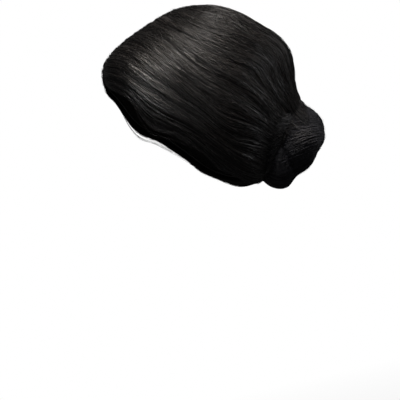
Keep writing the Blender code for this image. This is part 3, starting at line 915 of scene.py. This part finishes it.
def base_strands(name, rng, turn, reach, lift, material):
    """Strands across the corner at the foot of the bun."""
    count, steps = turn.shape[0], turn.shape[1] - 1
    place = steps_along(steps)
    points, lean = rim_paths(turn, reach)
    dive = end_dive(place, BASE_SINK, BASE_SINK)
    rise = rng.uniform(*lift, (count, 1))
    rise = rise - dive * (STRAND_DIVE + rise)
    size = rng.uniform(*STRAND_SIZES, (count, 1)) * TOP_RADIUS
    size = size * taper(steps, STRAND_ENDS, STRAND_ENDS)[None, :]
    tubes(name, points + lean * rise[..., None] - ORIGIN, lean, size, size * FLATNESS,
          rng.uniform(0.0, 1.0, count), material)


def gathered_strands(rng, material):
    """The head's hair where it runs onto the bun, furthest at the upper sides."""
    count = GATHERED_STRANDS
    tuft = np.arange(count) % GATHERED_TUFTS
    place = steps_along(STRAND_STEPS)
    turn = rng.uniform(-1.0, 1.0, GATHERED_TUFTS)[tuft] * GATHERED_TURN
    turn = turn + rng.normal(0.0, 0.03, count)
    climb = np.exp(-(((np.abs(turn) - CLIMB_TURN) / CLIMB_SPREAD) ** 2))
    climb = (CLIMB_LEAST + CLIMB * climb) * rng.uniform(0.45, 1.1, count)
    start = rng.uniform(0.010, 0.024, count)
    reach = start[:, None] - (start + climb)[:, None] * place
    slant = np.sign(turn) * np.minimum(np.abs(turn), 0.8) * rng.uniform(0.1, 0.35, count)
    wave = rng.uniform(1.0, 2.0, (count, 1)) * place + rng.uniform(size=(count, 1))
    wave = 0.008 * np.sin(2 * np.pi * wave)
    turns = turn[:, None] + slant[:, None] * (place - 0.5) + wave
    base_strands("gathered_strands", rng, turns, reach, (0.0004, 0.0013), material)


def wrapped_strands(rng, material):
    """Short strands that wrap the foot of the bun at its lower sides."""
    count = WRAPPED_STRANDS
    place = steps_along(STRAND_STEPS)
    side = np.where(np.arange(count) % 2 == 0, 1.0, -1.0)
    turn = side * rng.uniform(*WRAPPED_TURNS, count)
    reach = rng.uniform(0.009, 0.016, count)[:, None] * (1.0 - place)
    reach = reach - rng.uniform(-0.004, 0.006, count)[:, None] * place
    slant = -side * rng.uniform(0.1, 0.4, count)
    turns = turn[:, None] + slant[:, None] * (place - 0.5)
    base_strands("wrapped_strands", rng, turns, reach, (0.0006, 0.0018), material)


def tuck_section(turn, size):
    """One slice of the tucked end: up the side of the dome, over in a round roll, and
    back along the nape."""
    seat, up, out, across = bun_frame()
    high, wide, _ = dome_section(turn)
    rim = np.hypot(high, wide)
    direction = (up * high + across * wide) / rim
    middle = seat + up * BUN_SHIFT * BUN_HEIGHT
    low_tilt = seated_tilt(np.array([turn]), PIECE_GAP)[0]
    tilts = np.linspace(low_tilt, np.radians(30.0), 60)
    side = dome_point(np.full(60, turn), tilts, PIECE_GAP)
    heights = (side - middle) @ out
    roll_middle = heights[0] + TUCK_LIFT * TUCK_DEPTH * size
    arc = np.radians(np.linspace(TUCK_ARC[0], TUCK_ARC[1], TUCK_POINTS))
    roll_height = roll_middle + TUCK_DEPTH * size * np.cos(arc)
    top_tilt = np.interp(roll_height[0], heights, tilts)
    wall_tilts = np.linspace(low_tilt, top_tilt, WALL_POINTS)
    wall = dome_point(np.full(WALL_POINTS, turn), wall_tilts, PIECE_GAP)
    reach = (wall - middle) @ direction
    grown = TUCK_WIDTH * size * np.sin(arc)
    roll_reach = np.maximum(rim * TUCK_ROOT + grown, reach[-1] + grown * TUCK_CLING)
    under = np.linspace(roll_reach[-1], reach[0], UNDER_POINTS + 2)[1:-1]
    roll = middle + np.outer(roll_reach, direction) + np.outer(roll_height, out)
    under = middle + np.outer(under, direction) + roll_height[-1] * out
    outside = np.concatenate([roll, under])
    lies = sunk(outside, PIECE_GAP) < 0
    lies[TUCK_POINTS:] = True
    outside = np.where(lies[:, None], onto_seat(outside, out), outside)
    return np.concatenate([wall, outside])


def tuck_grid():
    """Slices of the tucked end, from one side of the bun to the other."""
    sections = []
    for place in np.linspace(-1.0, 1.0, TUCK_SECTIONS + 1):
        size = TUCK_TIP + (1.0 - TUCK_TIP) * (1.0 - place**2) ** TUCK_POWER
        sections.append(tuck_section(np.pi + np.radians(TUCK_SPAN) * place, size))
    return np.array(sections)


def tuck_shell(grid, material):
    """The body of the tucked end."""
    count, ring, _ = grid.shape
    points = grid.reshape(-1, 3) - ORIGIN
    faces = []
    uvs = []
    for section in range(count - 1):
        for corner in range(ring):
            here = section * ring + corner
            beside = section * ring + (corner + 1) % ring
            faces.append((beside, here, here + ring, beside + ring))
            low, high = corner / ring, (corner + 1) / ring
            left, right = section / count, (section + 1) / count
            uvs += [(left, high), (left, low), (right, low), (right, high)]
    faces.append(tuple(range(ring)))
    faces.append(tuple(range(count * ring - 1, (count - 1) * ring - 1, -1)))
    uvs += [(0.0, 0.0)] * ring + [(1.0, 1.0)] * ring
    shell = make_piece("tucked_end", points, faces, uvs, material)
    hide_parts("bun_tuck")


def tuck_cover(grid):
    """The outside of the roll, with a stretch of the dome above it and of the nape's hair
    below it, and soft corners between them."""
    _, up, out, across = bun_frame()
    rows = []
    for place, section in zip(np.linspace(-1.0, 1.0, len(grid)), grid):
        turn = np.pi + np.radians(TUCK_SPAN) * place
        roll = section[WALL_POINTS - 1:WALL_POINTS + TUCK_POINTS]
        tilts = np.linspace(np.radians(10.0), np.radians(120.0), 200)
        side = dome_point(np.full(len(tilts), turn), tilts, PIECE_GAP)
        top = tilts[np.argmin(np.linalg.norm(side - roll[0], axis=1))]
        climb = top - COVER_TILT * np.linspace(1.0, 0.0, COVER_POINTS + 1)[:-1]
        above = dome_point(np.full(COVER_POINTS, turn), climb, PIECE_GAP)
        high, wide, _ = dome_section(turn)
        away = (up * high + across * wide) / np.hypot(high, wide)
        reach = COVER_REACH * np.linspace(0.0, 1.0, COVER_POINTS + 1)[1:]
        below = onto_seat(roll[-1] + np.outer(reach, away), out)
        row = np.concatenate([above, roll, below])
        for _ in range(COVER_SMOOTHING):
            row[1:-1] = (row[:-2] + 2 * row[1:-1] + row[2:]) / 4
        rows.append(row)
    return np.array(rows)


def tuck_strands(rng, grid, material):
    """Strands that run over the roll of the tucked end, from the nape up onto the dome."""
    cover = tuck_cover(grid)
    normals = normals_of(cover, bun_frame()[0])
    count = TUCK_STRANDS
    place = steps_along(STRAND_STEPS)
    middle = rng.uniform(0.0, 1.0, count)
    start = rng.uniform(0.0, 0.3, count)
    end = rng.uniform(0.7, 1.0, count)
    along = start[:, None] + (end - start)[:, None] * place
    slant = np.clip((0.5 - middle) * 6.0, -1.0, 1.0) * TUCK_SLANT * rng.uniform(0.5, 1.3, count)
    across = np.clip(middle[:, None] + slant[:, None] * (along - 0.5), 0.0, 1.0)
    rise = rng.uniform(0.0002, 0.0009, count)[:, None]
    dive = end_dive(place, SINK, SINK)
    rise = rise - dive * (STRAND_DIVE + rise)
    away = read_grid(normals, across, along)
    centre = read_grid(cover, across, along) + away * rise[..., None]
    size = rng.uniform(*STRAND_SIZES, count)[:, None] * STRAND_RADIUS
    size = size * taper(STRAND_STEPS, STRAND_ENDS, STRAND_ENDS)[None, :]
    tone = rng.uniform(0.0, 1.0, count)
    tubes("tucked_strands", centre - ORIGIN, away, size, size * FLATNESS, tone, material)


def new_material(name):
    material = bpy.data.materials.new(name)
    material.use_nodes = True
    nodes = material.node_tree.nodes
    return material, nodes, material.node_tree.links, nodes["Principled BSDF"]


def tone_ramp(nodes, links, source, stops):
    """A colour ramp read by a value."""
    ramp = nodes.new("ShaderNodeValToRGB")
    ramp.color_ramp.elements[0].position = stops[0][0]
    ramp.color_ramp.elements[0].color = (*stops[0][1], 1.0)
    ramp.color_ramp.elements[1].position = stops[-1][0]
    ramp.color_ramp.elements[1].color = (*stops[-1][1], 1.0)
    for position, colour in stops[1:-1]:
        element = ramp.color_ramp.elements.new(position)
        element.color = (*colour, 1.0)
    links.new(source, ramp.inputs["Fac"])
    return ramp.outputs["Color"]


def streak_noise(nodes, links, across, along, detail):
    """Noise drawn out along the hair, from the map that the strands run along."""
    place = nodes.new("ShaderNodeUVMap")
    place.uv_map = "OFBake"
    stretch = nodes.new("ShaderNodeMapping")
    stretch.inputs["Scale"].default_value = (across, along, 1.0)
    noise = nodes.new("ShaderNodeTexNoise")
    noise.inputs["Scale"].default_value = 1.0
    noise.inputs["Detail"].default_value = detail
    links.new(place.outputs["UV"], stretch.inputs["Vector"])
    links.new(stretch.outputs["Vector"], noise.inputs["Vector"])
    return noise.outputs["Fac"]


def combed_material(name, stops, across, along):
    """Hair seen as a mass: dark, streaked along the strands, with fine furrows."""
    material, nodes, links, shader = new_material(name)
    streaks = streak_noise(nodes, links, across, along, 3.0)
    links.new(tone_ramp(nodes, links, streaks, stops), shader.inputs["Base Color"])
    fine = streak_noise(nodes, links, across * 3.0, along * 1.5, 2.0)
    rough = nodes.new("ShaderNodeMapRange")
    rough.inputs["To Min"].default_value = 0.45
    rough.inputs["To Max"].default_value = 0.75
    links.new(fine, rough.inputs["Value"])
    links.new(rough.outputs["Result"], shader.inputs["Roughness"])
    bump = nodes.new("ShaderNodeBump")
    bump.inputs["Strength"].default_value = 0.7
    bump.inputs["Distance"].default_value = 0.0004
    links.new(fine, bump.inputs["Height"])
    links.new(bump.outputs["Normal"], shader.inputs["Normal"])
    shader.inputs["Specular IOR Level"].default_value = 0.2
    return material


def strand_material(name, stops, roughness, shine):
    """Single strands: each has its own shade, given by its tone."""
    material, nodes, links, shader = new_material(name)
    tone = nodes.new("ShaderNodeAttribute")
    tone.attribute_name = "tone"
    links.new(tone_ramp(nodes, links, tone.outputs["Fac"], stops), shader.inputs["Base Color"])
    scatter = nodes.new("ShaderNodeMath")
    scatter.operation = "MULTIPLY"
    scatter.inputs[1].default_value = 13.7
    links.new(tone.outputs["Fac"], scatter.inputs[0])
    own = nodes.new("ShaderNodeMath")
    own.operation = "FRACT"
    links.new(scatter.outputs["Value"], own.inputs[0])
    rough = nodes.new("ShaderNodeMapRange")
    rough.inputs["To Min"].default_value = roughness[0]
    rough.inputs["To Max"].default_value = roughness[1]
    links.new(own.outputs["Value"], rough.inputs["Value"])
    links.new(rough.outputs["Result"], shader.inputs["Roughness"])
    bump = nodes.new("ShaderNodeBump")
    bump.inputs["Strength"].default_value = 0.6
    bump.inputs["Distance"].default_value = 0.0003
    links.new(streak_noise(nodes, links, 30.0, 2000.0, 1.0), bump.inputs["Height"])
    links.new(bump.outputs["Normal"], shader.inputs["Normal"])
    shader.inputs["Specular IOR Level"].default_value = shine
    return material


def net_material():
    """Black stretch net, matt, with a fine square mesh."""
    material, nodes, links, shader = new_material("cap_net")
    place = nodes.new("ShaderNodeTexCoord")
    mesh = nodes.new("ShaderNodeTexVoronoi")
    mesh.feature = "DISTANCE_TO_EDGE"
    mesh.inputs["Scale"].default_value = 700.0
    mesh.inputs["Randomness"].default_value = 0.25
    links.new(place.outputs["Object"], mesh.inputs["Vector"])
    colour = tone_ramp(nodes, links, mesh.outputs["Distance"],
                       ((0.0, (0.070, 0.066, 0.064)), (0.25, (0.012, 0.011, 0.011))))
    links.new(colour, shader.inputs["Base Color"])
    bump = nodes.new("ShaderNodeBump")
    bump.invert = True
    bump.inputs["Strength"].default_value = 0.6
    bump.inputs["Distance"].default_value = 0.0005
    links.new(mesh.outputs["Distance"], bump.inputs["Height"])
    links.new(bump.outputs["Normal"], shader.inputs["Normal"])
    shader.inputs["Roughness"].default_value = 0.82
    return material


def make_materials():
    black = ((0.25, (0.0035, 0.0032, 0.0032)), (0.6, (0.010, 0.009, 0.009)),
             (0.85, (0.020, 0.018, 0.017)))
    # The bun's copies of the hair's shades are darker and bluer: painted shade on the coiled
    # hair.
    shaded_blue_black = ((0.25, (0.0035, 0.0035, 0.0045)), (0.6, (0.008, 0.008, 0.011)),
                  (0.85, (0.016, 0.016, 0.021)))
    shades = ((0.0, (0.004, 0.0037, 0.0037)), (0.7, (0.011, 0.0098, 0.0096)),
              (1.0, (0.032, 0.027, 0.024)))
    shaded_blue_shades = ((0.0, (0.004, 0.004, 0.006)), (0.7, (0.009, 0.009, 0.014)),
                   (1.0, (0.018, 0.018, 0.026)))
    # Lighter shades for the strands that wrap the bun's base: painted highlight strokes.
    painted_highlight_rope_shades = ((0.0, (0.006, 0.006, 0.006)), (0.6, (0.016, 0.016, 0.017)),
                   (1.0, (0.045, 0.044, 0.046)))
    return {
        "combed": combed_material("combed_hair", black, 420.0, 5.0),
        "strands": strand_material("hair_strands", shades, (0.20, 0.42), 0.6),
        # painted shade: the bun, its roll and their strands take the darker, bluer copies
        "coiled": combed_material("coiled_hair", shaded_blue_black, 420.0, 5.0),
        "shaded_coil_strands": strand_material("bun_hair_strands_painted_shade", shaded_blue_shades, (0.48, 0.7), 0.4),
        "rope": strand_material("wrapped_hair_painted_highlight", painted_highlight_rope_shades, (0.25, 0.5), 0.6),
        "net": net_material(),
    }


def softbox(name, place, aim, size, power, colour):
    light = bpy.data.lights.new(name, "AREA")
    light.shape = "RECTANGLE"
    light.size = size[0]
    light.size_y = size[1]
    light.energy = power
    light.color = colour
    item = bpy.data.objects.new(name, light)
    item.location = place
    item.rotation_euler = (Vector(aim) - Vector(place)).to_track_quat("-Z", "Y").to_euler()
    bpy.context.scene.collection.objects.link(item)


def white_world(camera_strength, light_strength):
    """A white surround: bright behind the object, and dim as a light."""
    world = bpy.data.worlds.new("surround")
    bpy.context.scene.world = world
    world.use_nodes = True
    nodes = world.node_tree.nodes
    links = world.node_tree.links
    path = nodes.new("ShaderNodeLightPath")
    strength = nodes.new("ShaderNodeMapRange")
    strength.inputs["To Min"].default_value = light_strength
    strength.inputs["To Max"].default_value = camera_strength
    links.new(path.outputs["Is Camera Ray"], strength.inputs["Value"])
    background = nodes["Background"]
    background.inputs["Color"].default_value = (1.0, 1.0, 1.0, 1.0)
    links.new(strength.outputs["Result"], background.inputs["Strength"])


def pale_floor():
    mesh = bpy.data.meshes.new("floor")
    corners = [(-HALF_PLANE, -HALF_PLANE, FLOOR_HEIGHT), (HALF_PLANE, -HALF_PLANE, FLOOR_HEIGHT),
               (HALF_PLANE, HALF_PLANE, FLOOR_HEIGHT), (-HALF_PLANE, HALF_PLANE, FLOOR_HEIGHT)]
    mesh.from_pydata(corners, [], [(0, 1, 2, 3)])
    material, nodes, links, shader = new_material("pale_floor")
    shader.inputs["Base Color"].default_value = (0.0, 0.0, 0.0, 1.0)
    shader.inputs["Specular IOR Level"].default_value = 0.0
    # The floor glows instead of being lit and takes no shadow: painted light, greyer in its
    # middle and white towards its edge.
    shader.inputs["Emission Strength"].default_value = 1.0
    place = nodes.new("ShaderNodeTexCoord")
    reach = nodes.new("ShaderNodeVectorMath")
    reach.operation = "LENGTH"
    links.new(place.outputs["Object"], reach.inputs[0])
    spread = nodes.new("ShaderNodeMapRange")
    spread.inputs["From Max"].default_value = FLOOR_FADE
    links.new(reach.outputs["Value"], spread.inputs["Value"])
    shade = tone_ramp(nodes, links, spread.outputs["Result"],
                      ((0.0, (0.80, 0.80, 0.80)), (1.0, (1.0, 1.0, 1.0))))
    links.new(shade, shader.inputs["Emission Color"])
    mesh.materials.append(material)
    item = bpy.data.objects.new("floor", mesh)
    item.visible_diffuse = False
    item.visible_glossy = False
    bpy.context.scene.collection.objects.link(item)


def place_camera():
    """The camera stands level at the photograph's angle and is rolled as its head is."""
    back = Vector((np.sin(CAMERA_AZIMUTH), -np.cos(CAMERA_AZIMUTH), 0.0))
    across = Vector((np.cos(CAMERA_AZIMUTH), np.sin(CAMERA_AZIMUTH), 0.0))
    height = Vector((0.0, 0.0, 1.0))
    right = across * np.cos(CAMERA_ROLL) - height * np.sin(CAMERA_ROLL)
    up = across * np.sin(CAMERA_ROLL) + height * np.cos(CAMERA_ROLL)
    target = across * AIM_ACROSS + height * AIM_HEIGHT
    place = target + back * CAMERA_DISTANCE
    data = bpy.data.cameras.new("camera")
    data.sensor_width = SENSOR_WIDTH * 1000
    data.lens = SENSOR_WIDTH * CAMERA_DISTANCE / FRAME_FIELD * 1000
    item = bpy.data.objects.new("camera", data)
    turn = Matrix((right, up, back)).transposed().to_4x4()
    item.matrix_world = Matrix.Translation(place) @ turn
    bpy.context.scene.collection.objects.link(item)
    bpy.context.scene.camera = item


def main():
    place_camera()
    pale_floor()
    white_world(1.0, 0.06)
    head = (0.0, 0.0, -0.09)
    softbox("key", (0.9, -0.2, 0.95), head, (0.5, 0.5), 12.0, (1.0, 0.98, 0.97))
    softbox("fill", (0.7, -1.1, -0.9), head, (0.8, 0.8), 5.0, (1.0, 0.98, 0.97))
    softbox("top", (0.25, 0.45, 1.25), head, (0.8, 0.8), 28.0, (1.0, 0.92, 0.84))
    softbox("rim", (-0.2, 1.6, 0.5), head, (0.9, 0.9), 5.0, (0.95, 0.97, 1.0))
    bpy.context.scene.view_settings.view_transform = "Standard"
    materials = make_materials()
    net_cap(materials["net"])
    hair_side("left", 1.0, 11, materials)
    hair_side("right", -1.0, 23, materials)
    rng = np.random.default_rng(37)
    grid = bun_grid(rng)
    bun_shell(grid, materials["coiled"])
    normals = normals_of(grid, bun_frame()[0])
    close = Layer(BUN_STRANDS, 1, 0.0, BUN_RADIUS, (0.35, 0.75), (0.0, 0.0005), 0.0)
    loose = Layer(BUN_LOOSE, 1, 0.0, LOOSE_RADIUS, (0.3, 0.6), (0.0006, 0.0018), 0.0,
                  steps=LOOSE_STEPS)
    bun_strands("bun_strands", rng, grid, normals, close, materials["shaded_coil_strands"])
    bun_strands("bun_loose_strands", rng, grid, normals, loose, materials["shaded_coil_strands"])
    gathered_strands(rng, materials["strands"])
    # The wrapped strands take the lighter rope shades: painted highlight.
    wrapped_strands(rng, materials["rope"])
    roll = tuck_grid()
    tuck_shell(roll, materials["coiled"])
    tuck_strands(rng, roll, materials["shaded_coil_strands"])


main()
